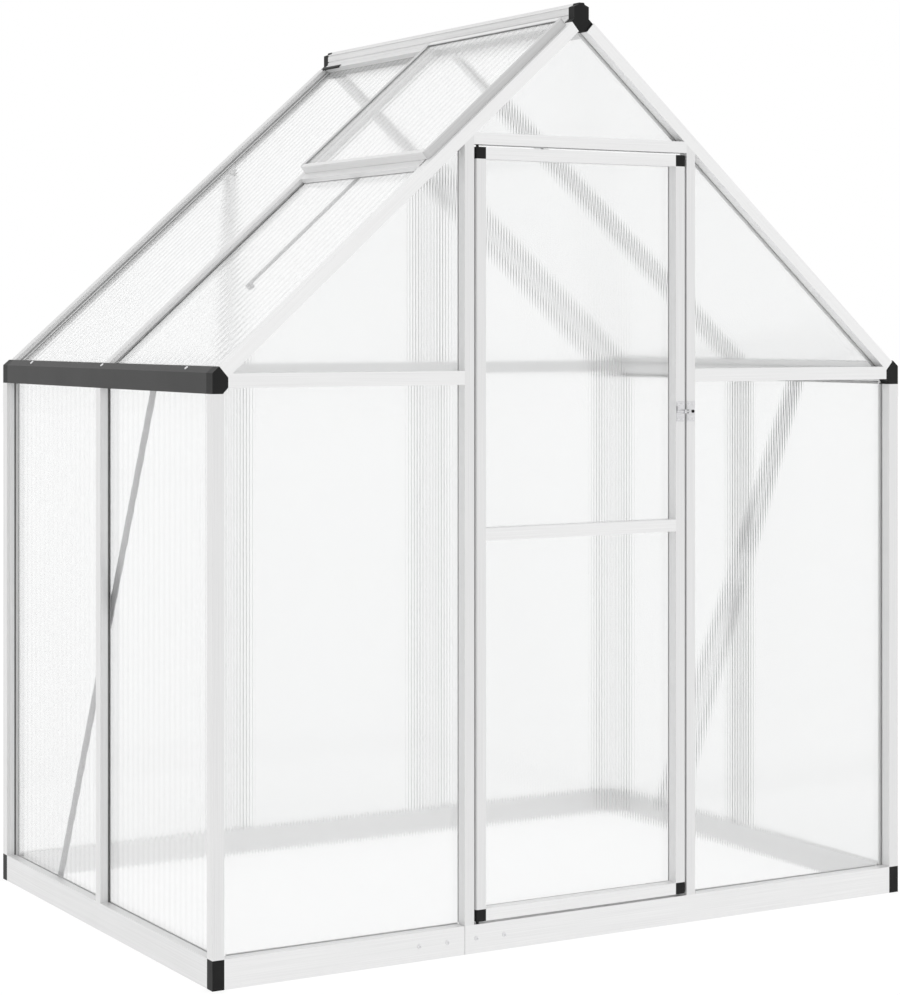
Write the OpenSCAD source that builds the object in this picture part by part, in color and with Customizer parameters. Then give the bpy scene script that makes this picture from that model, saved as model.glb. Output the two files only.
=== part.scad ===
// Small greenhouse: aluminium bars, twin-wall sheets, a hinged door and a roof vent.
// Millimetres, +Z up. The origin is on the ground at the centre of the plan, the door is in the -Y wall.

/* [Overall] */
// Width across the gable walls
width = 1690; // [1500:10:2200]
// Depth along the ridge
depth = 1140; // [1000:10:1800]
// Height of the underside of the eaves
eave_z = 1140.6; // [1000:0.1:1300]
// Slope of the roof in degrees
pitch = 41.57; // [38:0.01:45]

/* [Bars] */
// Face width of posts and rafters
bar_w = 25; // [22:0.5:30]
// Depth of the bars in the gable walls, which sets how far back the gable sheets lie
bar_d = 25; // [22:0.5:30]
// How far the side wall sheets lie behind the outer faces of their bars
side_d = 20.4; // [16:0.1:24]
// How far the roof sheets lie below the upper faces of their bars
roof_d = 12; // [9:0.5:20]
// Wall thickness of the extrusions
wall = 1.4; // [1:0.1:2]
// Face width of the rails at eave height
rail_w = 28; // [24:0.5:34]
// Height of the underside of those rails above the underside of the eaves
rail_rise = 11.4; // [6:0.1:16]
// Thickness of the lip behind the sheets
lip_t = 1.6; // [1:0.1:2.2]
// Width of the web between two sheets
neck_w = 3; // [2:0.5:4]
// How far the rear channel of a corner bar is set back from its side face
corner_step = 6; // [3:0.5:9]

/* [Sheets] */
// Thickness of a sheet
sheet_t = 4; // [3:0.5:6]
// Clearance on each side of a sheet in its slot
sheet_gap = 0.3; // [0.2:0.05:0.5]
// Width of sheet edge that lies in a slot
sheet_hold = 8; // [6:0.5:9]

/* [Base] */
// Height of the base rails and corner blocks
base_h = 58; // [45:1:80]
// How far the sheets reach below the top of the base rails
foot_drop = 12; // [8:0.5:20]
// Height of the lip behind the sheets above the base rails
foot_up = 2; // [1:0.5:12]
// Open seam between two base rails
seam_gap = 1.2; // [0.4:0.1:2]
// Length of the plate that joins two base rails
splice_len = 240; // [160:5:280]
// Height of that plate
splice_h = 44; // [30:1:50]
// Thickness of that plate
splice_t = 3; // [2:0.5:5]

/* [Door] */
// Width of the door leaf
door_w = 517; // [450:1:600]
// Clearance all round the door leaf
door_gap = 5; // [5:0.5:8]
// Face width of the door jambs and of the matching studs in the back wall
jamb_w = 22; // [20:0.5:28]
// Face width of the rail over the door
header_w = 24; // [20:0.5:30]
// How far the ends of that rail reach up beside the rafters
header_bite = 5; // [0:0.5:10]
// Face width of the door stiles
stile_w = 23; // [20:0.5:28]
// Face width of the top and bottom door rails
door_rail_w = 24; // [20:0.5:30]
// Height of the middle of the door's cross rail above the ground
mid_rail_z = 847; // [600:1:1000]
// Distance of the hinge axis from the front and the hinge edge of the leaf
pivot_in = 6; // [5:0.5:8]
// Radius of the long front edge at the hinge side
pivot_round = 5; // [3:0.5:5]
// Diameter of the hinge pins
pin_d = 6; // [5:0.5:7]
// Radial clearance of the hinge pins
pin_gap = 0.1; // [0.05:0.01:0.1]

/* [Latch] */
// Height of the middle of the latch above the ground
latch_z = 1089; // [900:1:1200]
// Height of the latch plate and the keeper plate
latch_h = 43; // [34:1:60]
// Thickness of the latch plate and the keeper plate
latch_t = 1.2; // [1:0.1:2]
// Diameter of the latch bolt
bolt_d = 5; // [4:0.5:6]
// Clearance round the latch bolt
bolt_gap = 0.3; // [0.3:0.05:0.5]
// Width of the guides that the bolt runs in
guide_w = 4; // [3:0.5:5]
// Diameter of the stub that slides the bolt
stub_d = 3.6; // [3:0.2:5]
// Height of that stub above the bolt's axis
stub_h = 11; // [8:0.5:14]
// Distance of that stub from the bolt's tail
stub_in = 0.7; // [0.5:0.1:1.5]

/* [Eaves] */
// Height of the upper ends of the rafters' seats above the gutter's underside
gutter_h = 50.2; // [44:0.1:56]
// Height of the upright face of the gutter
gutter_face_h = 40.4; // [32:0.1:42]
// How far those seats lie in from the gutter's face
gutter_set = 16.7; // [14:0.1:20]
// How far the gutter's inner edge stands above the rafters
gutter_lip = 3.5; // [1:0.1:5]
// Wall thickness of the gutter
gutter_wall = 2; // [1.5:0.1:2.5]
// Depth of the gutter end caps
gutter_cap_d = 28; // [22:0.5:30]
// Width of the underside of those caps
gutter_cap_foot = 22; // [18:0.5:26]

/* [Ridge] */
// Distance down the slope from the apex to where the rafters meet the ridge
ridge_seat = 36; // [32:0.5:42]
// Width of the ridge beam's body
ridge_w = 36; // [30:0.5:40]
// Height of the upright sides of that body
ridge_side_h = 25.5; // [18:0.5:30]
// Width of the crown on top
crown_w = 12; // [8:0.5:18]
// Height of the crown above the body
crown_h = 8.5; // [6:0.5:14]
// Distance down the slope from the apex to the lower edges of the ridge's flanges
flange_end = 40; // [38:0.5:46]
// Thickness of those flanges, which lie on the rafters
flange_t = 1.6; // [1:0.1:2.4]
// Width of the two long grooves in each side of the ridge
groove_w = 2.4; // [1:0.1:4]
// Depth of those grooves
groove_d = 2; // [0.6:0.1:2.2]
// Distance of the lower groove below the shoulder
groove_low = 16; // [10:0.5:18]
// Depth of the ridge end caps
ridge_cap_d = 22; // [18:0.5:26]
// How far the ridge ends lie in from the gable planes
ridge_inset = 5.5; // [2:0.5:8]

/* [Roof vent] */
// Distance down the slope from the apex to the vent's upper edge
vent_start = 41; // [40:0.5:50]
// Length of the vent down the slope
vent_len = 440; // [350:1:600]
// Height of the vent's frame above the rafters that it lies on
vent_h = 18; // [14:0.5:24]
// Width of the vent's rails
vent_rail_w = 10; // [8:0.5:12]
// Thickness of the vent's rails over its sheet
vent_lip = 2.4; // [1.4:0.1:4]
// Width of the vent sheet's edge that lies in the rails
vent_hold = 6; // [4:0.5:7]
// Radius of the vent's corners
vent_round = 10; // [4:0.5:12]
// Width of the sill that shows below the vent
sill_show = 20; // [14:0.5:46]
// Length of the stay bar
stay_len = 365; // [250:5:450]
// Width of the stay bar
stay_w = 18; // [14:0.5:24]
// Thickness of the stay bar
stay_t = 3; // [2:0.5:5]
// Length of the stay bar that lies up the slope from the sill's lower edge
stay_back = 22; // [10:1:28]
// Distance of the stay bar from the middle rafter's centre line
stay_y = 255; // [150:5:320]
// Height of the foot at the stay bar's lower end
stay_foot_h = 8; // [4:0.5:12]
// Length of that foot
stay_foot_len = 10; // [6:0.5:16]

/* [Wall braces] */
// Width of a brace
brace_w = 26; // [18:0.5:34]
// Thickness of a brace
brace_t = 2; // [1.5:0.1:3]
// Distance of the brace's upper end from the middle post, towards the door
brace_top_y = 245; // [150:5:400]
// Distance of the brace's lower end from the middle post, towards the back
brace_low_y = 282; // [150:5:400]

/* [Hidden] */
$fn = 32;
silver = [0.88, 0.88, 0.89];
black = [0.12, 0.12, 0.12];
charcoal = [0.30, 0.30, 0.31];
frosted = [0.93, 0.95, 0.96, 0.5];
steel = [0.72, 0.72, 0.74];

// How far a cutting shape reaches past what it cuts
cut = 1;

// Depths measured inwards from the outer face of a bar
slot_t = sheet_t + 2 * sheet_gap;
sheet_d = bar_d + sheet_gap;
lip_d = bar_d + slot_t;
bar_full = lip_d + lip_t;
side_full = side_d + slot_t + lip_t;
roof_full = roof_d + slot_t + lip_t;
// How far the side channel of a corner bar reaches in
corner_full = bar_full + sheet_gap + sheet_hold;

// Roof geometry
apex_z = eave_z + gutter_h + (width / 2 - gutter_set) * tan(pitch);
eave_a = (width / 2 - gutter_set) / cos(pitch);
function roof_z(x, h) = apex_z - h / cos(pitch) - x * tan(pitch);
function roof_x(z, h) = (apex_z - h / cos(pitch) - z) / tan(pitch);
function roof_pt(a, h) = [a * cos(pitch) - h * sin(pitch), apex_z - a * sin(pitch) - h * cos(pitch)];
end_gap = 0.5;
rafter_fit = 0.1;
rafter_len = eave_a - ridge_seat - 2 * rafter_fit;
lip_reach = 20;
lip_clear = 4;
rafter_cope = lip_reach + lip_clear;
lip_half = depth / 2 - corner_full - end_gap;

// Eaves
eave_in = roof_pt(eave_a, bar_d)[0];
eave_foot_set = 2;
eave_foot_w = side_d - eave_foot_set;
eave_chamfer = 12;
eave_slot_z = eave_z + gutter_wall + sheet_hold + 2 * sheet_gap;
rail_z = eave_z + rail_rise + rail_w / 2;

// Ridge
crown_step = 2;
waist_z = roof_z(ridge_w / 2, 0);
shoulder_z = waist_z + ridge_side_h;
ridge_half = depth / 2 - ridge_inset - ridge_cap_d;

// Doorway
jamb_in = door_w / 2 + door_gap;
jamb_out = jamb_in + jamb_w;
header_top = roof_z(jamb_in, bar_w) + header_bite;
header_low = header_top - header_w;
door_low = base_h + door_gap;
door_top = header_low - door_gap;
pivot = [-door_w / 2 + pivot_in, -depth / 2 + pivot_in];
pin_reach = door_gap + wall;

// Base
foot_z = base_h - foot_drop;
foot_clear = 2;
foot_start = corner_full + foot_clear;
seam_x = -jamb_out;

// Latch
latch_edge = 1;
latch_plate_w = stile_w - 2 * latch_edge;
guide_d = bolt_d + 2 * bolt_gap + 2 * latch_t;
bolt_y = -depth / 2 - latch_t - bolt_gap - bolt_d / 2;
bolt_tip = door_w / 2 - latch_edge;
bolt_len = latch_plate_w;

// Roof vent, measured down the slope from the apex
vent_end = vent_start + vent_len;
vent_y0 = -depth / 2 + bar_w / 2;
vent_y1 = 0;
sill_a0 = vent_end - vent_rail_w;
sill_a1 = vent_end + sill_show;

// Frames and copies

module both_sides() {
    children();
    mirror([1, 0, 0]) children();
}

module both_ends() {
    children();
    mirror([0, 1, 0]) children();
}

// Right slope: X runs down from the apex, Z points out of the roof
module on_slope() {
    translate([0, 0, apex_z]) rotate([0, pitch, 0]) children();
}

// Extrudes a drawing of X and Z along Y
module along_y(y0, y1) {
    translate([0, y1, 0]) rotate([90, 0, 0]) linear_extrude(y1 - y0) children();
}

// Turns a bar so that it runs along X with its outer face towards -Y
module along_front(x0, z) {
    translate([x0, -depth / 2, z]) rotate([0, 90, 0]) children();
}

// Cuts off what reaches above the lower edges of the gable rafters
module below_rafters() {
    difference() {
        children();
        both_sides() on_slope() translate([-width, -depth, -bar_w]) cube([3 * width, 2 * depth, width]);
    }
}

// Sections of the bars: X across the face, Y inwards from the outer face

module tube_section(w, d) {
    difference() {
        translate([-w / 2, 0]) square([w, d]);
        translate([-w / 2 + wall, wall]) square([w - 2 * wall, d - 2 * wall]);
    }
}

// Web and rear lip that hold the sheets, with the web at the middle or at one edge
module grip_section(w, d, web_side) {
    web_x = web_side * (w - neck_w) / 2;
    translate([web_x - neck_w / 2, d - wall]) square([neck_w, slot_t + wall]);
    translate([-w / 2, d + slot_t]) square([w, lip_t]);
}

// Rear channel for the gable sheet and side channel for the wall or roof sheet at its depth d
module corner_grip_section(d) {
    translate([corner_step, bar_d - wall]) square([wall, slot_t + wall]);
    translate([corner_step, lip_d]) square([bar_full - corner_step, lip_t]);
    translate([d - wall, lip_d]) square([wall, corner_full - lip_d]);
    translate([d + slot_t, lip_d]) square([lip_t, corner_full - lip_d]);
}

// Straight bar along Z whose grip stops short of each end by its cope
module bar(len, w, cope0 = 0, cope1 = 0, web_side = 0, d = bar_d) {
    linear_extrude(len) tube_section(w, d);
    translate([0, 0, cope0]) linear_extrude(len - cope0 - cope1) grip_section(w, d, web_side);
}

module corner_bar(len, d) {
    linear_extrude(len) {
        translate([bar_w / 2, 0]) tube_section(bar_w, bar_d);
        corner_grip_section(d);
    }
}

// Base

// Hollow rail with an upright section, Y inwards and X down from the top
module base_section(d) {
    translate([base_h / 2, 0]) tube_section(base_h, d);
}

// Channel behind a base rail that the sheets stand in
module base_foot_section(d) {
    translate([foot_drop, d - wall]) square([wall, wall + slot_t + lip_t]);
    translate([-foot_up, d + slot_t]) square([foot_drop + foot_up + wall, lip_t]);
}

module base_rail(len, foot0, foot1, d = bar_d) {
    linear_extrude(len) base_section(d);
    translate([0, 0, foot0]) linear_extrude(foot1 - foot0) base_foot_section(d);
}

module base_front_left_rail() {
    x0 = -width / 2 + bar_w;
    len = seam_x - seam_gap / 2 - x0;
    color(silver) along_front(x0, base_h) base_rail(len, foot_start - bar_w, len);
}

module base_front_right_rail() {
    x0 = seam_x + seam_gap / 2;
    len = width / 2 - bar_w - x0;
    color(silver) difference() {
        along_front(x0, base_h) base_rail(len, jamb_in - x0, len - foot_start + bar_w);
        translate([pivot[0], pivot[1], base_h - 2 * wall]) cylinder(h = 4 * wall, d = pin_d + 2 * pin_gap);
    }
}

module base_back_rails() {
    x0 = -width / 2 + bar_w;
    x1 = seam_x + seam_gap / 2;
    len0 = seam_x - seam_gap / 2 - x0;
    len1 = -x0 - x1;
    color(silver) mirror([0, 1, 0]) {
        along_front(x0, base_h) base_rail(len0, foot_start - bar_w, len0);
        along_front(x1, base_h) base_rail(len1, 0, len1 - foot_start + bar_w);
    }
}

module base_right_rail() {
    len = depth - 2 * bar_d;
    color(silver) translate([width / 2, -len / 2, base_h]) rotate([0, 90, 90])
        base_rail(len, foot_start - bar_d, len - foot_start + bar_d, side_d);
}

module base_left_rail() {
    mirror([1, 0, 0]) base_right_rail();
}

module base_corner_blocks() {
    color(black) both_sides() both_ends()
        translate([width / 2 - bar_w, depth / 2 - bar_d, 0]) cube([bar_w, bar_d, base_h]);
}

module base_splice_plates() {
    color(steel) both_ends()
        translate([seam_x - splice_len / 2, -depth / 2 + wall, (base_h - splice_h) / 2])
            cube([splice_len, splice_t, splice_h]);
}

// Upright bars

module front_corner_posts() {
    color(silver) both_sides()
        translate([-width / 2, -depth / 2, base_h]) corner_bar(eave_z - base_h, side_d);
}

module back_corner_posts() {
    mirror([0, 1, 0]) front_corner_posts();
}

module middle_posts() {
    color(silver) both_sides()
        translate([-width / 2, 0, base_h]) rotate(-90)
            bar(eave_z - base_h, bar_w, foot_up + end_gap, 0, 0, side_d);
}

// Upright in a gable wall, cut to the slope of the rafter over it
module gable_upright(web_side) {
    top = roof_z(jamb_in, bar_w);
    grip_top = roof_z(jamb_out, bar_full + end_gap);
    below_rafters()
        translate([jamb_in + jamb_w / 2, -depth / 2, base_h])
            bar(top - base_h, jamb_w, foot_up + end_gap, top - grip_top, web_side);
}

module door_jambs() {
    color(silver) both_sides() gable_upright(-1);
}

module back_wall_studs() {
    color(silver) both_sides() mirror([0, 1, 0]) gable_upright(0);
}

// Rails at eave height and over the door

module door_header() {
    color(silver) difference() {
        below_rafters() along_front(-jamb_in, header_low + header_w / 2)
            bar(2 * jamb_in, header_w, jamb_w, jamb_w, 1);
        translate([pivot[0], pivot[1], header_low - wall]) cylinder(h = 3 * wall, d = pin_d + 2 * pin_gap);
    }
}

module front_eave_rails() {
    grip_end = roof_x(rail_z + rail_w / 2, bar_full + end_gap);
    color(silver) both_sides() below_rafters()
        along_front(jamb_out, rail_z) bar(eave_in - jamb_out, rail_w, 0, eave_in - grip_end);
}

module back_eave_rails() {
    mirror([0, 1, 0]) front_eave_rails();
    color(silver) mirror([0, 1, 0]) along_front(-jamb_in, rail_z) bar(2 * jamb_in, rail_w);
}

// Eaves, drawn for the right side in X and Z

seat_top = roof_pt(eave_a, -gutter_lip);
seat_low = roof_pt(eave_a, bar_d);
seat_wall = roof_pt(eave_a, gutter_wall - gutter_lip);
gutter_x = width / 2 - gutter_wall;
gutter_knee_z = eave_z + gutter_face_h - gutter_wall / 2;
chamfer_z = eave_z + eave_chamfer;

module gutter_section() {
    polygon([
        [width / 2 - eave_foot_w, eave_z],
        [width / 2, eave_z],
        [width / 2, eave_z + gutter_face_h],
        seat_top,
        seat_wall,
        [gutter_x, gutter_knee_z],
        [gutter_x, eave_z + gutter_wall],
        [width / 2 - eave_foot_w, eave_z + gutter_wall]
    ]);
}

module eave_beam_section() {
    low_z = eave_z + gutter_wall;
    slot_x = width / 2 - side_d - slot_t;
    hollow_x = width / 2 - side_d + 2 * wall;
    difference() {
        polygon([
            [width / 2 - eave_foot_w, low_z],
            [gutter_x, low_z],
            [gutter_x, gutter_knee_z],
            seat_wall,
            seat_low,
            [eave_in, chamfer_z]
        ]);
        translate([slot_x, eave_z - wall]) square([slot_t, eave_slot_z - eave_z + wall]);
        translate([hollow_x, low_z + wall])
            square([gutter_x - wall - hollow_x, gutter_knee_z - low_z - 2 * wall]);
    }
}

// Shelf under the lower edge of the roof sheets
module eave_lip_section() {
    translate([0, apex_z]) rotate(-pitch)
        translate([eave_a - lip_reach, -roof_full]) square([lip_reach + wall, lip_t]);
}

module eave_beams() {
    beam_half = depth / 2 - gutter_cap_d;
    color(silver) both_sides() {
        along_y(-beam_half, beam_half) eave_beam_section();
        along_y(-lip_half, lip_half) eave_lip_section();
    }
}

module gutters() {
    beam_half = depth / 2 - gutter_cap_d;
    color(charcoal) both_sides() along_y(-beam_half, beam_half) gutter_section();
}

module gutter_end_caps() {
    color(black) both_sides() both_ends()
        along_y(-depth / 2, -depth / 2 + gutter_cap_d) polygon([
            [width / 2 - gutter_cap_foot, eave_z],
            [width / 2, eave_z],
            [width / 2, eave_z + gutter_face_h],
            seat_top,
            seat_low,
            [eave_in, chamfer_z]
        ]);
}

// Ridge

module ridge_outline(seat_d) {
    crown_knee_z = shoulder_z + crown_h / 2;
    for (side = [0, 1]) mirror([side, 0]) polygon([
        [0, shoulder_z + crown_h],
        [crown_w / 2, shoulder_z + crown_h],
        [crown_w / 2 + crown_step, crown_knee_z],
        [ridge_w / 2, shoulder_z],
        [ridge_w / 2, waist_z],
        roof_pt(ridge_seat, 0),
        roof_pt(ridge_seat, seat_d),
        [0, roof_pt(ridge_seat, seat_d)[1]]
    ]);
}

// Lips that carry the upper edges of the roof sheets
module ridge_lip_section() {
    for (side = [0, 1]) mirror([side, 0]) translate([0, apex_z]) rotate(-pitch)
        translate([ridge_seat - wall, -roof_full]) square([lip_reach + wall, lip_t]);
}

// Thin flanges that lie over the upper ends of the rafters
module ridge_flange_section() {
    start = ridge_w / 2 / cos(pitch) - wall;
    for (side = [0, 1]) mirror([side, 0]) translate([0, apex_z]) rotate(-pitch)
        translate([start, rafter_fit]) square([flange_end - start, flange_t]);
}

module ridge_grooves() {
    for (z = [shoulder_z - wall, shoulder_z - groove_low], side = [0, 1]) mirror([side, 0])
        translate([ridge_w / 2 - groove_d, z - groove_w]) square([groove_d + cut, groove_w]);
}

module ridge_beam() {
    hollow_w = ridge_w - 4 * wall;
    color(silver) {
        along_y(-ridge_half, ridge_half) {
            difference() {
                ridge_outline(bar_d);
                ridge_grooves();
                translate([-hollow_w / 2, waist_z]) square([hollow_w, ridge_side_h - 2 * wall]);
            }
            ridge_flange_section();
        }
        along_y(-lip_half, lip_half) ridge_lip_section();
    }
}

module ridge_end_caps() {
    color(black) both_ends()
        along_y(-depth / 2 + ridge_inset, -ridge_half) ridge_outline(bar_w);
}

// Rafters

module front_gable_rafters() {
    color(silver) both_sides() on_slope()
        translate([ridge_seat + rafter_fit, -depth / 2, 0]) rotate([0, 90, 0])
            corner_bar(rafter_len, roof_d);
}

module back_gable_rafters() {
    mirror([0, 1, 0]) front_gable_rafters();
}

module middle_rafters() {
    color(silver) both_sides() on_slope()
        translate([ridge_seat + rafter_fit, 0, 0]) rotate([-90, 0, -90])
            bar(rafter_len, bar_w, rafter_cope, rafter_cope, 0, roof_d);
}

// Roof vent, drawn on the right slope and mirrored to the left one

module on_left_slope() {
    mirror([1, 0, 0]) on_slope() children();
}

module vent_sill() {
    y0 = -depth / 2 + bar_full + end_gap;
    y1 = -bar_w / 2;
    sill_w = sill_a1 - sill_a0;
    notch = corner_full - bar_full;
    color(silver) on_left_slope() difference() {
        translate([(sill_a0 + sill_a1) / 2, y0, 0]) rotate([-90, 0, 0])
            bar(y1 - y0, sill_w, notch, 0, -1, roof_d);
        translate([sill_a0 - cut, y0 - cut, -roof_d - cut])
            cube([sill_w + 2 * cut, notch + cut, wall + end_gap + cut]);
    }
}

// Plan of the vent with round corners, standing on the rafters
module vent_block() {
    x0 = vent_start + vent_round;
    x1 = vent_end - vent_round;
    y0 = vent_y0 + vent_round;
    y1 = vent_y1 - vent_round;
    translate([0, 0, sheet_gap]) linear_extrude(vent_h) {
        translate([vent_start, y0]) square([vent_len, y1 - y0]);
        translate([x0, vent_y0]) square([x1 - x0, vent_y1 - vent_y0]);
        for (x = [x0, x1], y = [y0, y1]) translate([x, y]) circle(vent_round);
    }
}

// Slot round the inside of the vent's rails
module vent_slot(inset) {
    z = sheet_gap + vent_h - vent_lip - slot_t;
    translate([vent_start + inset, vent_y0 + inset, z])
        cube([vent_len - 2 * inset, vent_y1 - vent_y0 - 2 * inset, slot_t]);
}

// Rail of the vent between two distances down the slope and two places along the ridge
module vent_rail(a0, a1, y0, y1) {
    slot_inset = vent_rail_w - vent_hold - sheet_gap;
    difference() {
        intersection() {
            vent_block();
            translate([a0, y0, 0]) cube([a1 - a0, y1 - y0, 2 * vent_h]);
        }
        vent_slot(slot_inset);
    }
}

module vent_side_rails() {
    color(silver) on_left_slope() {
        vent_rail(vent_start, vent_end, vent_y0, vent_y0 + vent_rail_w);
        vent_rail(vent_start, vent_end, vent_y1 - vent_rail_w, vent_y1);
    }
}

module vent_cross_rails() {
    y0 = vent_y0 + vent_rail_w;
    y1 = vent_y1 - vent_rail_w;
    color(silver) on_left_slope() {
        vent_rail(vent_start, vent_start + vent_rail_w, y0, y1);
        vent_rail(vent_end - vent_rail_w, vent_end, y0, y1);
    }
}

module vent_panel() {
    inset = vent_rail_w - vent_hold;
    z = vent_h - vent_lip - sheet_t;
    color(frosted) on_left_slope()
        translate([vent_start + inset, vent_y0 + inset, z])
            cube([vent_len - 2 * inset, vent_y1 - vent_y0 - 2 * inset, sheet_t]);
}

module vent_stay() {
    a0 = sill_a1 - stay_back;
    top = -roof_full - sheet_gap;
    color(silver) on_left_slope() translate([a0, -stay_y - stay_w / 2, top - stay_t]) {
        cube([stay_len, stay_w, stay_t]);
        translate([stay_len - stay_foot_len, 0, -stay_foot_h])
            cube([stay_foot_len, stay_w, stay_foot_h + stay_t]);
    }
}

// Wall braces

// Flat bars against the inner lips of the middle posts and the base rails
module wall_braces() {
    top = [-brace_top_y, eave_z + gutter_h / 2];
    low = [brace_low_y, foot_z];
    run = low - top;
    color(silver) both_sides() intersection() {
        translate([width / 2 - side_full - brace_t, top[0], top[1]]) rotate([atan2(run[1], run[0]), 0, 0])
            translate([0, 0, -brace_w / 2]) cube([brace_t, norm(run), brace_w]);
        translate([0, -depth / 2, foot_z]) cube([width, depth, eave_z - foot_z]);
    }
}

// Sheets

// Sheet in the front plane, drawn in X and Z
module front_sheet() {
    along_y(-depth / 2 + sheet_d, -depth / 2 + sheet_d + sheet_t) children();
}

sheet_low = foot_z + sheet_gap;
gable_x = jamb_out - sheet_hold;
gable_low = rail_z + rail_w / 2 - sheet_hold;
wall_top = rail_z - rail_w / 2 + sheet_hold;
// Depth under the roof that the gable sheets reach up to behind the rafters
gable_h = bar_w - sheet_hold;
gable_out = eave_in - end_gap;
gable_top = roof_pt(ridge_seat, bar_w)[1] - end_gap;

module right_wall_panels() {
    y0 = bar_w / 2 - sheet_hold;
    y1 = depth / 2 - bar_full - sheet_gap;
    color(frosted) both_ends()
        translate([width / 2 - side_d - sheet_gap - sheet_t, y0, sheet_low])
            cube([sheet_t, y1 - y0, eave_slot_z - sheet_gap - sheet_low]);
}

module left_wall_panels() {
    mirror([1, 0, 0]) right_wall_panels();
}

module side_wall_sheets() {
    x1 = width / 2 - bar_w;
    both_sides() front_sheet() difference() {
        translate([gable_x, sheet_low]) square([x1 + sheet_hold - gable_x, wall_top - sheet_low]);
        translate([x1 - end_gap, 0]) square([bar_w, base_h + end_gap]);
        translate([gable_out, eave_z - end_gap]) square([bar_full, rail_w]);
    }
}

module side_gable_sheets() {
    both_sides() front_sheet() polygon([
        [gable_x, gable_low],
        [gable_out, gable_low],
        [gable_out, roof_z(gable_out, gable_h)],
        [gable_x, roof_z(gable_x, gable_h)]
    ]);
}

// Sheet between two uprights that comes to a point under the ridge
module peak_sheet(x, low) {
    peak_x = (apex_z - gable_h / cos(pitch) - gable_top) / tan(pitch);
    front_sheet() polygon([
        [-x, low],
        [x, low],
        [x, roof_z(x, gable_h)],
        [peak_x, gable_top],
        [-peak_x, gable_top],
        [-x, roof_z(x, gable_h)]
    ]);
}

module front_wall_panels() {
    color(frosted) side_wall_sheets();
}

module front_gable_panels() {
    color(frosted) {
        side_gable_sheets();
        peak_sheet(jamb_in - end_gap, header_top - sheet_hold);
    }
}

module back_wall_panels() {
    x = jamb_in + sheet_hold;
    color(frosted) mirror([0, 1, 0]) {
        side_wall_sheets();
        front_sheet() translate([-x, sheet_low]) square([2 * x, wall_top - sheet_low]);
    }
}

module back_gable_panels() {
    color(frosted) mirror([0, 1, 0]) {
        side_gable_sheets();
        peak_sheet(jamb_in + sheet_hold, gable_low);
    }
}

// Roof sheet on the right slope at the back, from a0 down to the eaves
module roof_sheet(a0) {
    y0 = bar_w / 2 - sheet_hold;
    y1 = depth / 2 - bar_full - sheet_gap;
    on_slope() translate([a0, y0, -roof_d - sheet_gap - sheet_t])
        cube([eave_a - end_gap - a0, y1 - y0, sheet_t]);
}

module right_roof_panels() {
    color(frosted) both_ends() roof_sheet(ridge_seat + end_gap);
}

module left_roof_panels() {
    color(frosted) mirror([1, 0, 0]) {
        roof_sheet(ridge_seat + end_gap);
        mirror([0, 1, 0]) roof_sheet(sill_a1 - sheet_hold);
    }
}

// Door

// Cuts the long front edge at the hinge side to a radius
module round_hinge_edge() {
    difference() {
        children();
        translate([-door_w / 2, -depth / 2, door_low - cut]) linear_extrude(door_top - door_low + 2 * cut)
            difference() {
                translate([-cut, -cut]) square(pivot_round + cut);
                translate([pivot_round, pivot_round]) circle(pivot_round);
            }
    }
}

module door_stiles() {
    len = door_top - door_low - 2 * door_rail_w;
    color(silver) round_hinge_edge() both_sides()
        translate([(door_w - stile_w) / 2, -depth / 2, door_low + door_rail_w])
            bar(len, stile_w, 0, 0, 1);
}

module door_rail(z, w, web_side) {
    along_front(-door_w / 2 + stile_w, z) bar(door_w - 2 * stile_w, w, 0, 0, web_side);
}

module door_rails() {
    color(silver) {
        door_rail(door_low + door_rail_w / 2, door_rail_w, 1);
        door_rail(mid_rail_z, bar_w, 0);
        door_rail(door_top - door_rail_w / 2, door_rail_w, -1);
    }
}

module door_panels() {
    x = door_w / 2 - stile_w + sheet_hold;
    mid_low = mid_rail_z - bar_w / 2 + sheet_hold;
    mid_high = mid_rail_z + bar_w / 2 - sheet_hold;
    low = door_low + door_rail_w - sheet_hold;
    top = door_top - door_rail_w + sheet_hold;
    color(frosted) front_sheet() {
        translate([-x, low]) square([2 * x, mid_low - low]);
        translate([-x, mid_high]) square([2 * x, top - mid_high]);
    }
}

module door_corner_caps() {
    color(black) {
        round_hinge_edge() both_sides() for (z = [door_low, door_top - door_rail_w])
            translate([door_w / 2 - stile_w, -depth / 2, z]) cube([stile_w, bar_d, door_rail_w]);
        for (z = [door_low - pin_reach, door_top - wall])
            translate([pivot[0], pivot[1], z]) cylinder(h = pin_reach + wall, d = pin_d);
    }
}

// Latch

// Plate against the front plane with a round tunnel along X for the bolt
module bolt_guide(plate_x, plate_w, guide_x) {
    difference() {
        union() {
            translate([plate_x, -depth / 2 - latch_t, latch_z - latch_h / 2])
                cube([plate_w, latch_t, latch_h]);
            translate([guide_x, -depth / 2 - guide_d, latch_z - guide_d / 2])
                cube([guide_w, guide_d, guide_d]);
        }
        translate([guide_x - cut, bolt_y, latch_z]) rotate([0, 90, 0])
            cylinder(h = guide_w + 2 * cut, d = bolt_d + 2 * bolt_gap);
    }
}

module latch_plate() {
    color(steel) bolt_guide(bolt_tip - latch_plate_w, latch_plate_w, bolt_tip - guide_w);
}

module latch_keeper() {
    color(steel) bolt_guide(jamb_in + latch_edge, jamb_w - 2 * latch_edge, jamb_in + latch_edge);
}

module latch_bolt() {
    tail_x = bolt_tip - bolt_len;
    color(steel) {
        translate([tail_x, bolt_y, latch_z]) rotate([0, 90, 0]) cylinder(h = bolt_len, d = bolt_d);
        translate([tail_x + stub_in + stub_d / 2, bolt_y, latch_z]) cylinder(h = stub_h, d = stub_d);
    }
}

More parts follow.
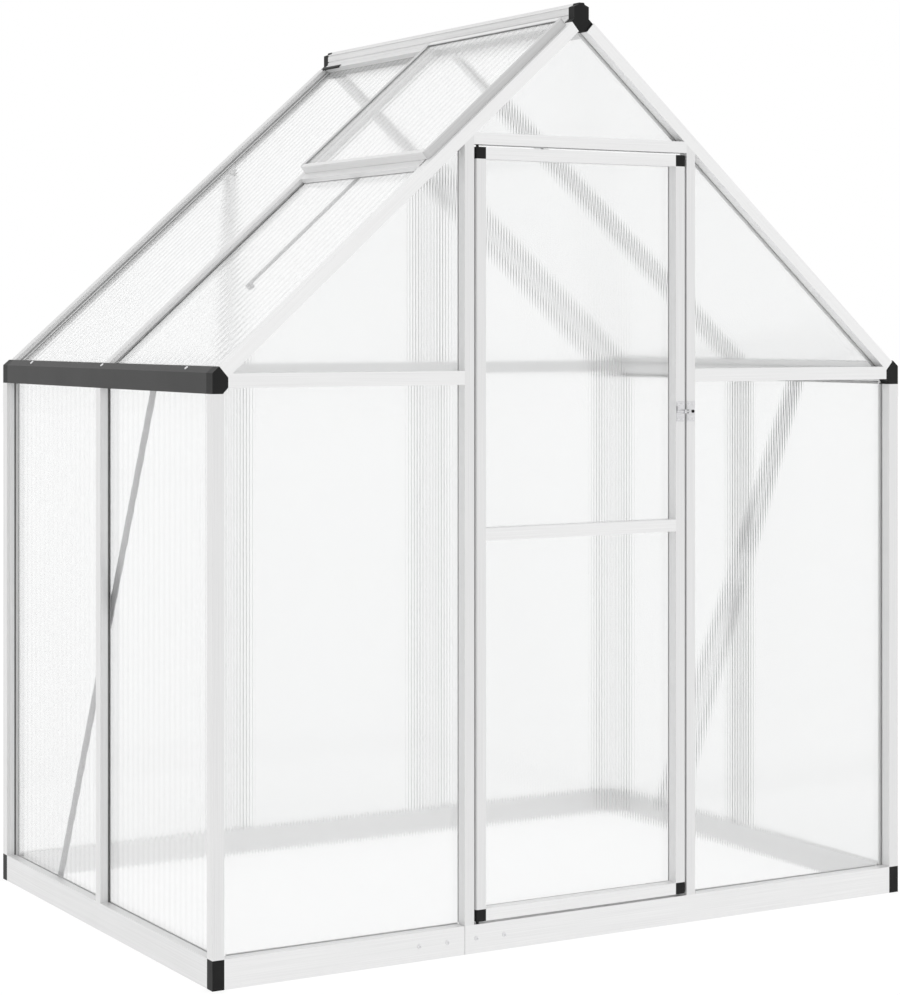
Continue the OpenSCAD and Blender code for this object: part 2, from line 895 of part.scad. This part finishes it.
base_front_left_rail();
base_front_right_rail();
base_back_rails();
base_left_rail();
base_right_rail();
base_corner_blocks();
base_splice_plates();
front_corner_posts();
back_corner_posts();
middle_posts();
door_jambs();
back_wall_studs();
door_header();
front_eave_rails();
back_eave_rails();
eave_beams();
gutters();
gutter_end_caps();
ridge_beam();
ridge_end_caps();
front_gable_rafters();
middle_rafters();
back_gable_rafters();
vent_sill();
vent_side_rails();
vent_cross_rails();
vent_panel();
vent_stay();
wall_braces();
left_wall_panels();
right_wall_panels();
front_wall_panels();
front_gable_panels();
back_wall_panels();
back_gable_panels();
left_roof_panels();
right_roof_panels();
latch_keeper();
door_stiles();
door_rails();
door_panels();
door_corner_caps();
latch_plate();
latch_bolt();
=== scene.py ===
import math

import bmesh
import bpy
from mathutils import Matrix, Vector


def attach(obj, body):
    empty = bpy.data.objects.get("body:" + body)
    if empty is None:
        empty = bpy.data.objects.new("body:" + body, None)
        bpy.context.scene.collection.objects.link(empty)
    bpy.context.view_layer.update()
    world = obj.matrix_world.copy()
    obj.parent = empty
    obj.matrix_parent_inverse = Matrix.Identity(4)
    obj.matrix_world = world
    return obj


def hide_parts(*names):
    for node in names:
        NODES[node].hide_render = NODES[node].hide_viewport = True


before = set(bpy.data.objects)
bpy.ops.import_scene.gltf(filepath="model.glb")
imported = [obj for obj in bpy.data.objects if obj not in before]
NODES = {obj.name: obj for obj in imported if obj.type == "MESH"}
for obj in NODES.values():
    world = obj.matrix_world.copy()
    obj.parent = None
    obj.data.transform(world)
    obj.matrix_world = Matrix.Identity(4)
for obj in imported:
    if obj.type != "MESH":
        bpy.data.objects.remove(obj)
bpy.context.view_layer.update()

SCENE = bpy.context.scene

# Sizes in metres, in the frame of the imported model

# Level camera fitted to the photograph, in its pixels, with the horizon above the middle
PHOTO_H = 995
FOCAL_PX = 2515.2
HORIZON_PX = 326.4
SENSOR = 36.0
CAMERA_AT = (-2.872, -4.945, 1.270)
CAMERA_TURN = math.radians(-30.254)

# Soft light, strongest from the back right, and the floor
LIGHT_FROM = (0.72, 0.48, 0.30)
LIGHT_SPAN = {"From Min": -0.8, "From Max": 0.8, "To Min": 0.82, "To Max": 1.11}
WHITE = (1.0, 1.0, 1.0, 1.0)
FLOOR_GREY = (0.22, 0.22, 0.22, 1.0)
FLOOR_GLOW = 0.80
FLOOR_HALF = 30.0
FLOOR_CELLS = 8

# Materials: where a noise starts and ends its range, and how far it is drawn out along a bar
NOISE_SPAN = (0.3, 0.7)
LONG = 0.004

# Twin-wall sheets: flutes on every sheet, and slow waves on the side walls and the roof
FLUTE = 0.0066
FLUTE_STEPS = 8
FRONT_SAG = 0.00008
SIDE_SAG = 0.00005
SWELL = 4 * FLUTE
WALL_SWELL = 0.00008
ROOF_SWELL = 0.00005
SKIN_SET = 0.00004
WELD = 1e-6
SHARP_ANGLE = math.radians(30.0)

# Frame sizes that the added pieces are set against
ROOF_PITCH = math.radians(41.57)
HALF_W = 0.845
HALF_D = 0.570
BASE_H = 0.058
EAVE_Z = 1.1406
APEX_Z = 1.92556
BAR_W = 0.025
SIDE_D = 0.0204
ROOF_D = 0.012
LIP_IN = 0.0312
CORNER_STEP = 0.0015
RIDGE_END = 0.5425
LATCH_Z = 1.089
LATCH_FACE_Y = -0.5712

# Dark strips that paint the shade in the corners between bars and sheets: the roof's start at the ridge,
# or below the vent's sill, and end at the gutter
SHADE_STRIP_W = 0.0036
SHADE_STRIP_T = 0.0010
SHADE_STRIP_END = 0.001
SHADE_STRIP_RIDGE_A = 0.0365
SHADE_STRIP_SILL_A = 0.5015
SHADE_STRIP_EAVE_A = 1.1066
SHADE_STRIP_SIDES = ((BAR_W / 2, 1.0, 0.0), (-BAR_W / 2, -1.0, 0.0),
              (HALF_D - LIP_IN, -1.0, CORNER_STEP), (LIP_IN - HALF_D, 1.0, CORNER_STEP))
STRIP_SECTION = ((0.0, 0.0), (0.7, 0.12), (1.0, 0.38), (1.0, 0.62), (0.7, 0.88), (0.0, 1.0))

# Dark bead that paints the shade along the joint between the vent's upper rail and its sheet
SHADE_BEAD_A = 0.0512
SHADE_BEAD_W = 0.0022
SHADE_BEAD_H = 0.0011
SHADE_BEAD_Y = (-0.547, -0.0105)
VENT_SHEET_TOP = 0.0156

# Feet of the ridge caps: slope side and ridge end of each, and the section down the slope
FOOT_LEN = 0.0845
FOOT_ENDS = ((-1.0, 1.0), (1.0, 1.0), (1.0, -1.0))
FOOT_SECTION = ((0.0330, -0.0017), (0.0345, -0.0036), (0.0410, -0.0036), (0.0430, -0.0020),
                (0.0430, -0.0001), (0.0403, -0.0001), (0.0403, -0.0017))

# Screws, each a diameter and a height, and the plug on the keeper
SCREW_SIDES = 24
SCREW_PROFILE = ((1.0, 0.0), (1.0, 0.35), (0.93, 0.68), (0.78, 0.90), (0.56, 1.0))
CROSS_ARM = 0.42
CROSS_HALF = 0.10
CROSS_TAPER = 0.7
CROSS_FLOOR = 0.35
BASE_SCREW = (0.0100, 0.0022)
BASE_SCREW_X = (-0.391, -0.326, -0.258, -0.192)
BASE_SCREW_Z = 0.030
GUTTER_SCREW = (0.0085, 0.0020)
GUTTER_SCREW_Y = (-0.430, 0.0, 0.410)
GUTTER_SCREW_UP = 0.62
GUTTER_BEVEL = (Vector((HALF_W, 1.181)), Vector((0.8306, 1.1934)))
BRACE_SCREW = (0.0100, 0.0025)
BRACE_SCREW_YZ = ((0.0, 0.6458), (0.2783, 0.0540), (-0.2253, 1.1250))
BRACE_X = 0.8164
LATCH_SCREW = (0.0050, 0.0013)
LATCH_SCREW_X = (0.2415, 0.2525)
LATCH_SCREW_Z = (LATCH_Z - 0.016, LATCH_Z + 0.016)
KEEPER_SCREW_X = (0.2695, 0.2795)
PLUG_PROFILE = ((1.0, 0.0), (1.0, 0.30), (0.93, 0.62), (0.74, 0.86), (0.40, 1.0))
PLUG_D = 0.0068
PLUG_H = 0.0030
PLUG_X = 0.279


# Nodes and materials

def new_material(name):
    material = bpy.data.materials.new(name)
    material.use_nodes = True
    tree = material.node_tree
    return material, tree, tree.nodes["Principled BSDF"]


def add_node(tree, kind, inputs=None, **settings):
    node = tree.nodes.new(kind)
    for key, value in settings.items():
        setattr(node, key, value)
    for key, value in (inputs or {}).items():
        node.inputs[key].default_value = value
    return node


def vary(tree, source, socket, low, high):
    """Drives a socket from a noise, between two greys or two colours."""
    node = add_node(tree, "ShaderNodeValToRGB")
    for element, position, value in zip(node.color_ramp.elements, NOISE_SPAN, (low, high)):
        element.position = position
        element.color = (*value, 1.0) if isinstance(value, tuple) else (value, value, value, 1.0)
    tree.links.new(source, node.inputs["Fac"])
    tree.links.new(node.outputs["Color"], socket)


def bump(tree, bsdf, height, strength, distance):
    node = add_node(tree, "ShaderNodeBump", {"Strength": strength, "Distance": distance})
    tree.links.new(height, node.inputs["Height"])
    tree.links.new(node.outputs["Normal"], bsdf.inputs["Normal"])


def object_coords(tree):
    return add_node(tree, "ShaderNodeTexCoord").outputs["Object"]


def folded_coords(tree):
    """Object coordinates mirrored to the right slope, so both roof slopes share one direction."""
    split = add_node(tree, "ShaderNodeSeparateXYZ")
    join = add_node(tree, "ShaderNodeCombineXYZ")
    fold = add_node(tree, "ShaderNodeMath", operation="ABSOLUTE")
    tree.links.new(object_coords(tree), split.inputs["Vector"])
    tree.links.new(split.outputs["X"], fold.inputs[0])
    tree.links.new(fold.outputs["Value"], join.inputs["X"])
    tree.links.new(split.outputs["Y"], join.inputs["Y"])
    tree.links.new(split.outputs["Z"], join.inputs["Z"])
    turn = add_node(tree, "ShaderNodeVectorRotate", {"Angle": -ROOF_PITCH}, rotation_type="Y_AXIS")
    tree.links.new(join.outputs["Vector"], turn.inputs["Vector"])
    return turn.outputs["Vector"]


def noise(tree, coords, scale, detail=3.0, stretch=(1.0, 1.0, 1.0)):
    mapping = add_node(tree, "ShaderNodeMapping", {"Scale": stretch})
    tree.links.new(coords, mapping.inputs["Vector"])
    texture = add_node(tree, "ShaderNodeTexNoise", {"Scale": scale, "Detail": detail})
    tree.links.new(mapping.outputs["Vector"], texture.inputs["Vector"])
    return texture.outputs["Fac"]


def aluminium(name, shade_tone, stretch, on_roof=False):
    """Mill-finish extrusion with fine drawn lines along the bar, on a base tone that paints the light or
    shade of the bars it is given to.
    """
    material, tree, bsdf = new_material(name)
    coords = folded_coords(tree) if on_roof else object_coords(tree)
    lines = noise(tree, coords, 900.0, 2.0, stretch)
    cloud = noise(tree, coords, 9.0, 4.0)
    vary(tree, lines, bsdf.inputs["Base Color"], shade_tone - 0.04, shade_tone + 0.04)
    vary(tree, cloud, bsdf.inputs["Roughness"], 0.34, 0.46)
    bsdf.inputs["Metallic"].default_value = 0.25
    bump(tree, bsdf, lines, 0.12, 0.0001)
    return material


def twin_wall_sheet():
    """Clear plastic sheet with a light haze."""
    material, tree, bsdf = new_material("twin_wall_sheet")
    haze = noise(tree, object_coords(tree), 14.0, 4.0)
    vary(tree, haze, bsdf.inputs["Roughness"], 0.045, 0.065)
    bsdf.inputs["Base Color"].default_value = (0.965, 0.968, 0.968, 1.0)
    bsdf.inputs["Transmission Weight"].default_value = 0.94
    bsdf.inputs["IOR"].default_value = 1.5
    return material


def gutter_paint():
    """Dark grey powder coat with a fine orange peel."""
    material, tree, bsdf = new_material("gutter_paint")
    coords = object_coords(tree)
    cloud = noise(tree, coords, 6.0, 5.0)
    peel = noise(tree, coords, 1400.0, 2.0)
    vary(tree, cloud, bsdf.inputs["Base Color"], 0.030, 0.040)
    vary(tree, peel, bsdf.inputs["Roughness"], 0.42, 0.54)
    bsdf.inputs["Specular IOR Level"].default_value = 0.24
    bump(tree, bsdf, peel, 0.15, 0.0002)
    return material


def black_plastic():
    """Moulded black plastic with a fine grain."""
    material, tree, bsdf = new_material("black_plastic")
    coords = object_coords(tree)
    grain = noise(tree, coords, 1100.0, 3.0)
    cloud = noise(tree, coords, 30.0, 3.0)
    vary(tree, cloud, bsdf.inputs["Base Color"], 0.006, 0.010)
    vary(tree, grain, bsdf.inputs["Roughness"], 0.42, 0.56)
    bsdf.inputs["Specular IOR Level"].default_value = 0.2
    bump(tree, bsdf, grain, 0.25, 0.0003)
    return material


def zinc(name, low, high):
    """Plated steel with fine drawn lines."""
    material, tree, bsdf = new_material(name)
    lines = noise(tree, object_coords(tree), 700.0, 3.0, (0.1, 1.0, 1.0))
    vary(tree, lines, bsdf.inputs["Base Color"], low, high)
    vary(tree, lines, bsdf.inputs["Roughness"], 0.25, 0.38)
    bsdf.inputs["Metallic"].default_value = 0.9
    bump(tree, bsdf, lines, 0.1, 0.0001)
    return material


def painted_shade_grey(name, low, high):
    """Dark grey that paints shade on strips in corners and joints, with a dull, slightly mottled face."""
    material, tree, bsdf = new_material(name)
    mottle = noise(tree, object_coords(tree), 160.0, 4.0)
    vary(tree, mottle, bsdf.inputs["Base Color"], low, high)
    vary(tree, mottle, bsdf.inputs["Roughness"], 0.55, 0.70)
    bump(tree, bsdf, mottle, 0.2, 0.0002)
    return material


# Lit and shaded copies of one aluminium: each tone paints the light or shade that falls on bars running
# one way. The front gable rafters are lightest and the vent's side rails are darkest.
ALU_Z = aluminium("aluminium_upright_shading", 0.77, (1.0, 1.0, LONG))
ALU_X = aluminium("aluminium_across_shading", 0.835, (LONG, 1.0, 1.0))
ALU_Y = aluminium("aluminium_deep_shading", 0.78, (1.0, LONG, 1.0))
ALU_SLOPE = aluminium("aluminium_slope_shading", 0.86, (LONG, 1.0, 1.0), on_roof=True)
ALU_RAFTER = aluminium("aluminium_rafter_shading", 0.72, (LONG, 1.0, 1.0), on_roof=True)
ALU_VENT = aluminium("aluminium_vent_shading", 0.60, (LONG, 1.0, 1.0), on_roof=True)
SHEET = twin_wall_sheet()
PAINT = gutter_paint()
PLASTIC = black_plastic()
STEEL = zinc("latch_steel", (0.60, 0.60, 0.61), (0.74, 0.74, 0.75))
SCREW = zinc("screw_zinc", (0.72, 0.72, 0.73), (0.86, 0.86, 0.87))
GALVANISED = zinc("brace_steel", (0.30, 0.30, 0.31), (0.44, 0.44, 0.45))
STAY_STEEL = zinc("stay_steel", (0.28, 0.28, 0.29), (0.40, 0.40, 0.41))
# Painted shade: dark grey for the strips in the wall corners and the bead under the vent's upper rail. A
# lighter grey gives the softer shade in the roof's corners.
SHADE_GREY = painted_shade_grey("painted_shade_grey", 0.10, 0.14)
ROOF_SHADE_GREY = painted_shade_grey("roof_painted_shade_grey", 0.30, 0.36)

# Nodes and their materials. The aluminium bars take the painted light or shade tone for the way they run.
FINISH_AND_SHADING = {
    ALU_Z: ["front_corner_posts", "back_corner_posts", "middle_posts", "door_jambs", "back_wall_studs",
            "door_stiles"],
    ALU_X: ["base_front_left_rail", "base_front_right_rail", "base_back_rails", "door_header",
            "front_eave_rails", "back_eave_rails", "door_rails"],
    ALU_Y: ["base_left_rail", "base_right_rail", "eave_beams", "ridge_beam", "vent_sill",
            "vent_cross_rails"],
    ALU_SLOPE: ["front_gable_rafters"],
    ALU_RAFTER: ["middle_rafters", "back_gable_rafters"],
    ALU_VENT: ["vent_side_rails"],
    PAINT: ["gutters"],
    PLASTIC: ["base_corner_blocks", "gutter_end_caps", "ridge_end_caps", "door_corner_caps"],
    STEEL: ["base_splice_plates", "latch_keeper", "latch_plate", "latch_bolt"],
    GALVANISED: ["wall_braces"],
    STAY_STEEL: ["vent_stay"],
}


def dress_nodes():
    for material, names in FINISH_AND_SHADING.items():
        for name in names:
            slots = NODES[name].data.materials
            slots.clear()
            slots.append(material)


# Meshes

def smooth(mesh):
    mesh.shade_smooth()
    mesh.set_sharp_from_angle(angle=SHARP_ANGLE)


def piece_from(bm, name, material, body):
    bmesh.ops.recalc_face_normals(bm, faces=bm.faces)
    mesh = bpy.data.meshes.new(name)
    bm.to_mesh(mesh)
    bm.free()
    mesh.materials.append(material)
    smooth(mesh)
    piece = bpy.data.objects.new(name, mesh)
    SCENE.collection.objects.link(piece)
    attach(piece, body)
    return piece


def add_loft(bm, sections):
    """Skin through rings of points, open at both ends, and its rings of vertices."""
    rings = [[bm.verts.new(point) for point in section] for section in sections]
    for one, two in zip(rings, rings[1:]):
        for i in range(len(one)):
            j = (i + 1) % len(one)
            bm.faces.new((one[i], one[j], two[j], two[i]))
    return rings


def add_bar(bm, sections):
    """Closed bar through rings of points."""
    rings = add_loft(bm, sections)
    bm.faces.new(rings[0])
    bm.faces.new(reversed(rings[-1]))


def add_strip(bm, start, end, out, rise):
    """Half-round strip from start to end, out along one vector and wide along another."""
    add_bar(bm, [[point + out * u + rise * v for u, v in STRIP_SECTION] for point in (start, end)])


def slope_point(side, a, y, h):
    """Point on a roof slope, a down from the apex and h below the faces of the rafters."""
    x = a * math.cos(ROOF_PITCH) - h * math.sin(ROOF_PITCH)
    return Vector((side * x, y, APEX_Z - a * math.sin(ROOF_PITCH) - h * math.cos(ROOF_PITCH)))


# Twin-wall sheets

def welded_copy(node):
    """Copy of a node's mesh with its seams closed, for cutting with."""
    bm = bmesh.new()
    bm.from_mesh(NODES[node].data)
    bmesh.ops.remove_doubles(bm, verts=bm.verts, dist=WELD)
    mesh = bpy.data.meshes.new(node + "_cutter")
    bm.to_mesh(mesh)
    bm.free()
    cutter = bpy.data.objects.new(node + "_cutter", mesh)
    SCENE.collection.objects.link(cutter)
    return cutter


def sheet_axes(node):
    """Turns the sheet's frame (across the flutes, along them, out of the sheet) to the model's."""
    if "roof" in node or "vent" in node:
        side = 1.0 if "right" in node else -1.0
        along = Vector((side * math.cos(ROOF_PITCH), 0.0, -math.sin(ROOF_PITCH)))
        across = Vector((0.0, 1.0, 0.0))
    elif node in ("left_wall_panels", "right_wall_panels"):
        along = Vector((0.0, 0.0, 1.0))
        across = Vector((0.0, 1.0, 0.0))
    else:
        along = Vector((0.0, 0.0, 1.0))
        across = Vector((1.0, 0.0, 0.0))
    return Matrix((across, along, across.cross(along))).transposed()


def sheet_waves(node):
    """Depths of the flutes and of the slow waves."""
    if "roof" in node or "vent" in node:
        return SIDE_SAG, ROOF_SWELL
    if "left" in node or "right" in node:
        return SIDE_SAG, WALL_SWELL
    return FRONT_SAG, 0.0


def fluted_block(low, high, sag, swell):
    """Closed slab in the sheet's frame, waved on both faces, a little longer than the sheet."""
    half = (high.z - low.z) / 2 - SKIN_SET
    middle = (high.z + low.z) / 2
    foot, head = low.y - FLUTE, high.y + FLUTE
    count = math.ceil((high.x - low.x) / FLUTE) + 1
    start = (low.x + high.x - count * FLUTE) / 2
    sections = []
    for step in range(count * FLUTE_STEPS + 1):
        x = start + step * FLUTE / FLUTE_STEPS
        lift = half - sag * (0.5 + 0.5 * math.cos(2 * math.pi * step / FLUTE_STEPS))
        lift -= swell * (0.5 + 0.5 * math.cos(2 * math.pi * (x - low.x) / SWELL))
        ring = ((foot, -lift), (foot, lift), (head, lift), (head, -lift))
        sections.append([(x, y, middle + z) for y, z in ring])
    bm = bmesh.new()
    add_bar(bm, sections)
    return bm


def fluted_sheet(node, body):
    """Waved slab cut to a node's outline, in place of the node."""
    axes = sheet_axes(node)
    inverse = axes.transposed()
    points = [inverse @ v.co for v in NODES[node].data.vertices]
    low = Vector(min(p[i] for p in points) for i in range(3))
    high = Vector(max(p[i] for p in points) for i in range(3))
    bm = fluted_block(low, high, *sheet_waves(node))
    bmesh.ops.transform(bm, matrix=axes.to_4x4(), verts=bm.verts)
    piece = piece_from(bm, node + "_fluted", SHEET, body)
    cutter = welded_copy(node)
    cut = piece.modifiers.new("outline", "BOOLEAN")
    cut.operation = "INTERSECT"
    cut.solver = "MANIFOLD"
    cut.object = cutter
    with bpy.context.temp_override(object=piece, active_object=piece):
        bpy.ops.object.modifier_apply(modifier=cut.name)
    bpy.data.objects.remove(cutter)
    smooth(piece.data)
    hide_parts(node)


def make_sheets():
    for node in NODES:
        if node.endswith("_panels") or node == "vent_panel":
            fluted_sheet(node, "door" if node.startswith("door") else "frame")


# Trim

def make_shade_strips():
    """Dark strips that paint the shade in the corners between the bars and the sheets of the side walls
    and the roof.
    """
    walls = bmesh.new()
    roof = bmesh.new()
    for side in (-1.0, 1.0):
        deep = Vector((-side * SHADE_STRIP_W, 0.0, 0.0))
        under = Vector((-side * math.sin(ROOF_PITCH), 0.0, -math.cos(ROOF_PITCH))) * SHADE_STRIP_W
        for y, turn, step in SHADE_STRIP_SIDES:
            out = Vector((0.0, turn * SHADE_STRIP_T, 0.0))
            x = side * (HALF_W - SIDE_D + SHADE_STRIP_W + step)
            foot, head = (Vector((x, y, z)) for z in (BASE_H + SHADE_STRIP_END, EAVE_Z - SHADE_STRIP_END))
            add_strip(walls, foot, head, out, deep)
            h = ROOF_D - SHADE_STRIP_W - step
            top_a = SHADE_STRIP_SILL_A if side < 0.0 and y < 0.0 else SHADE_STRIP_RIDGE_A
            top, end = (slope_point(side, a, y, h) for a in (top_a, SHADE_STRIP_EAVE_A))
            add_strip(roof, top, end, out, under)
    piece_from(walls, "wall_shade_strips", SHADE_GREY, "frame")
    piece_from(roof, "roof_shade_strips", ROOF_SHADE_GREY, "frame")


def make_ridge_feet():
    """Feet of the ridge caps, hooked over the lower edge of the flange, but not beside the vent."""
    bm = bmesh.new()
    for side, end in FOOT_ENDS:
        ends = (end * (RIDGE_END - FOOT_LEN), end * RIDGE_END)
        add_bar(bm, [[slope_point(side, a, y, h) for a, h in FOOT_SECTION] for y in ends])
    piece_from(bm, "ridge_cap_feet", PLASTIC, "frame")


def make_vent_shade_bead():
    """Dark bead that paints the shade along the joint between the vent's upper rail and its sheet."""
    bm = bmesh.new()
    top = -VENT_SHEET_TOP
    low_a = SHADE_BEAD_A + SHADE_BEAD_W
    start, end = (slope_point(-1.0, low_a, y, top) for y in SHADE_BEAD_Y)
    up_slope = slope_point(-1.0, SHADE_BEAD_A, 0.0, top) - slope_point(-1.0, low_a, 0.0, top)
    outward = slope_point(-1.0, SHADE_BEAD_A, 0.0, top - SHADE_BEAD_H) - slope_point(-1.0, SHADE_BEAD_A, 0.0, top)
    add_strip(bm, start, end, outward, up_slope)
    piece_from(bm, "vent_shade_bead", SHADE_GREY, "frame")


# Screws and plug

def turned(bm, radius, height, profile):
    """Turned side with a closed foot on the XY plane, open at the ring of vertices it gives back."""
    angles = [2 * math.pi * i / SCREW_SIDES for i in range(SCREW_SIDES)]
    sections = []
    for r, z in profile:
        sections.append([(radius * r * math.cos(t), radius * r * math.sin(t), height * z) for t in angles])
    rings = add_loft(bm, sections)
    bm.faces.new(reversed(rings[0]))
    return rings[-1]


def screw_head(size, height):
    """Pan head with a cross recess, standing on the XY plane."""
    bm = bmesh.new()
    radius = size / 2
    rim = turned(bm, radius, height, SCREW_PROFILE)
    arm, half = CROSS_ARM * radius, CROSS_HALF * radius
    cross = []
    for quarter in range(4):
        for x, y in ((arm, -half), (arm, half), (half, half)):
            for _ in range(quarter):
                x, y = -y, x
            cross.append((x, y))
    floor = [(CROSS_TAPER * x, CROSS_TAPER * y, CROSS_FLOOR * height) for x, y in cross]
    mouth, bottom = add_loft(bm, [[(x, y, height) for x, y in cross], floor])
    bm.faces.new(bottom)
    edges = [bm.edges.get((ring[i], ring[i - 1])) for ring in (rim, mouth) for i in range(len(ring))]
    bmesh.ops.triangle_fill(bm, edges=edges, use_beauty=True)
    return bm


def add_screws(bm, screw, places, normal):
    turn = Vector((0.0, 0.0, 1.0)).rotation_difference(Vector(normal)).to_matrix().to_4x4()
    for place in places:
        head = screw_head(*screw)
        bmesh.ops.transform(head, matrix=Matrix.Translation(place) @ turn, verts=head.verts)
        mesh = bpy.data.meshes.new("screw")
        head.to_mesh(mesh)
        head.free()
        bm.from_mesh(mesh)
        bpy.data.meshes.remove(mesh)


def make_screws():
    """Screws of the base seams, the gutters and the braces, and those of the latch on either body."""
    bm = bmesh.new()
    low, high = GUTTER_BEVEL
    run = high - low
    at = low + GUTTER_SCREW_UP * run
    for side in (-1.0, 1.0):
        places = [(x, side * HALF_D, BASE_SCREW_Z) for x in BASE_SCREW_X]
        add_screws(bm, BASE_SCREW, places, (0.0, side, 0.0))
        places = [(side * at.x, y, at.y) for y in GUTTER_SCREW_Y]
        add_screws(bm, GUTTER_SCREW, places, (side * run.y, 0.0, -run.x))
        places = [(side * BRACE_X, y, z) for y, z in BRACE_SCREW_YZ]
        add_screws(bm, BRACE_SCREW, places, (-side, 0.0, 0.0))
    piece_from(bm, "frame_screws", SCREW, "frame")
    for name, body, columns in (("keeper_screws", "frame", KEEPER_SCREW_X),
                                ("latch_screws", "door", LATCH_SCREW_X)):
        bm = bmesh.new()
        places = [(x, LATCH_FACE_Y, z) for x in columns for z in LATCH_SCREW_Z]
        add_screws(bm, LATCH_SCREW, places, (0.0, -1.0, 0.0))
        piece_from(bm, name, SCREW, body)


def make_keeper_plug():
    """Domed black plug on the keeper plate."""
    bm = bmesh.new()
    bm.faces.new(turned(bm, PLUG_D / 2, PLUG_H, PLUG_PROFILE))
    turn = Matrix.Rotation(math.radians(90.0), 4, "X")
    place = Matrix.Translation((PLUG_X, LATCH_FACE_Y, LATCH_Z))
    bmesh.ops.transform(bm, matrix=place @ turn, verts=bm.verts)
    piece_from(bm, "keeper_plug", PLASTIC, "frame")


# Stage, light and camera

def make_floor():
    bm = bmesh.new()
    bmesh.ops.create_grid(bm, x_segments=FLOOR_CELLS, y_segments=FLOOR_CELLS, size=FLOOR_HALF)
    mesh = bpy.data.meshes.new("floor")
    bm.to_mesh(mesh)
    bm.free()
    material, _, bsdf = new_material("floor_pale")
    bsdf.inputs["Base Color"].default_value = FLOOR_GREY
    bsdf.inputs["Roughness"].default_value = 0.9
    bsdf.inputs["Emission Color"].default_value = WHITE
    bsdf.inputs["Emission Strength"].default_value = FLOOR_GLOW
    material.cycles.emission_sampling = "NONE"
    mesh.materials.append(material)
    floor = bpy.data.objects.new("floor", mesh)
    SCENE.collection.objects.link(floor)


def make_world():
    """Soft light that falls off towards the front left, on a plain white background."""
    world = bpy.data.worlds.new("studio")
    world.use_nodes = True
    tree = world.node_tree
    direction = add_node(tree, "ShaderNodeTexCoord").outputs["Generated"]
    dot = add_node(tree, "ShaderNodeVectorMath", {1: LIGHT_FROM}, operation="DOT_PRODUCT")
    level = add_node(tree, "ShaderNodeMapRange", LIGHT_SPAN)
    light = tree.nodes["Background"]
    light.inputs["Color"].default_value = WHITE
    backdrop = add_node(tree, "ShaderNodeBackground", {"Color": WHITE, "Strength": 1.0})
    choice = add_node(tree, "ShaderNodeMixShader")
    rays = add_node(tree, "ShaderNodeLightPath")
    tree.links.new(direction, dot.inputs[0])
    tree.links.new(dot.outputs["Value"], level.inputs["Value"])
    tree.links.new(level.outputs["Result"], light.inputs["Strength"])
    tree.links.new(rays.outputs["Is Camera Ray"], choice.inputs[0])
    tree.links.new(light.outputs["Background"], choice.inputs[1])
    tree.links.new(backdrop.outputs["Background"], choice.inputs[2])
    tree.links.new(choice.outputs["Shader"], tree.nodes["World Output"].inputs["Surface"])
    world.cycles.sampling_method = "NONE"
    SCENE.world = world


def make_camera():
    data = bpy.data.cameras.new("camera")
    data.sensor_width = SENSOR
    data.lens = FOCAL_PX * SENSOR / PHOTO_H
    data.shift_y = (HORIZON_PX - PHOTO_H / 2) / PHOTO_H
    camera = bpy.data.objects.new("camera", data)
    camera.location = CAMERA_AT
    camera.rotation_euler = (math.radians(90.0), 0.0, CAMERA_TURN)
    SCENE.collection.objects.link(camera)
    SCENE.camera = camera


SCENE.view_settings.view_transform = "Standard"
SCENE.cycles.max_bounces = 7
SCENE.cycles.diffuse_bounces = 2
SCENE.cycles.glossy_bounces = 2
SCENE.cycles.transmission_bounces = 7
SCENE.cycles.caustics_reflective = True
SCENE.cycles.caustics_refractive = True
SCENE.cycles.blur_glossy = 0.0
make_camera()
make_world()
make_floor()
dress_nodes()
make_sheets()
make_shade_strips()
make_ridge_feet()
make_vent_shade_bead()
make_screws()
make_keeper_plug()
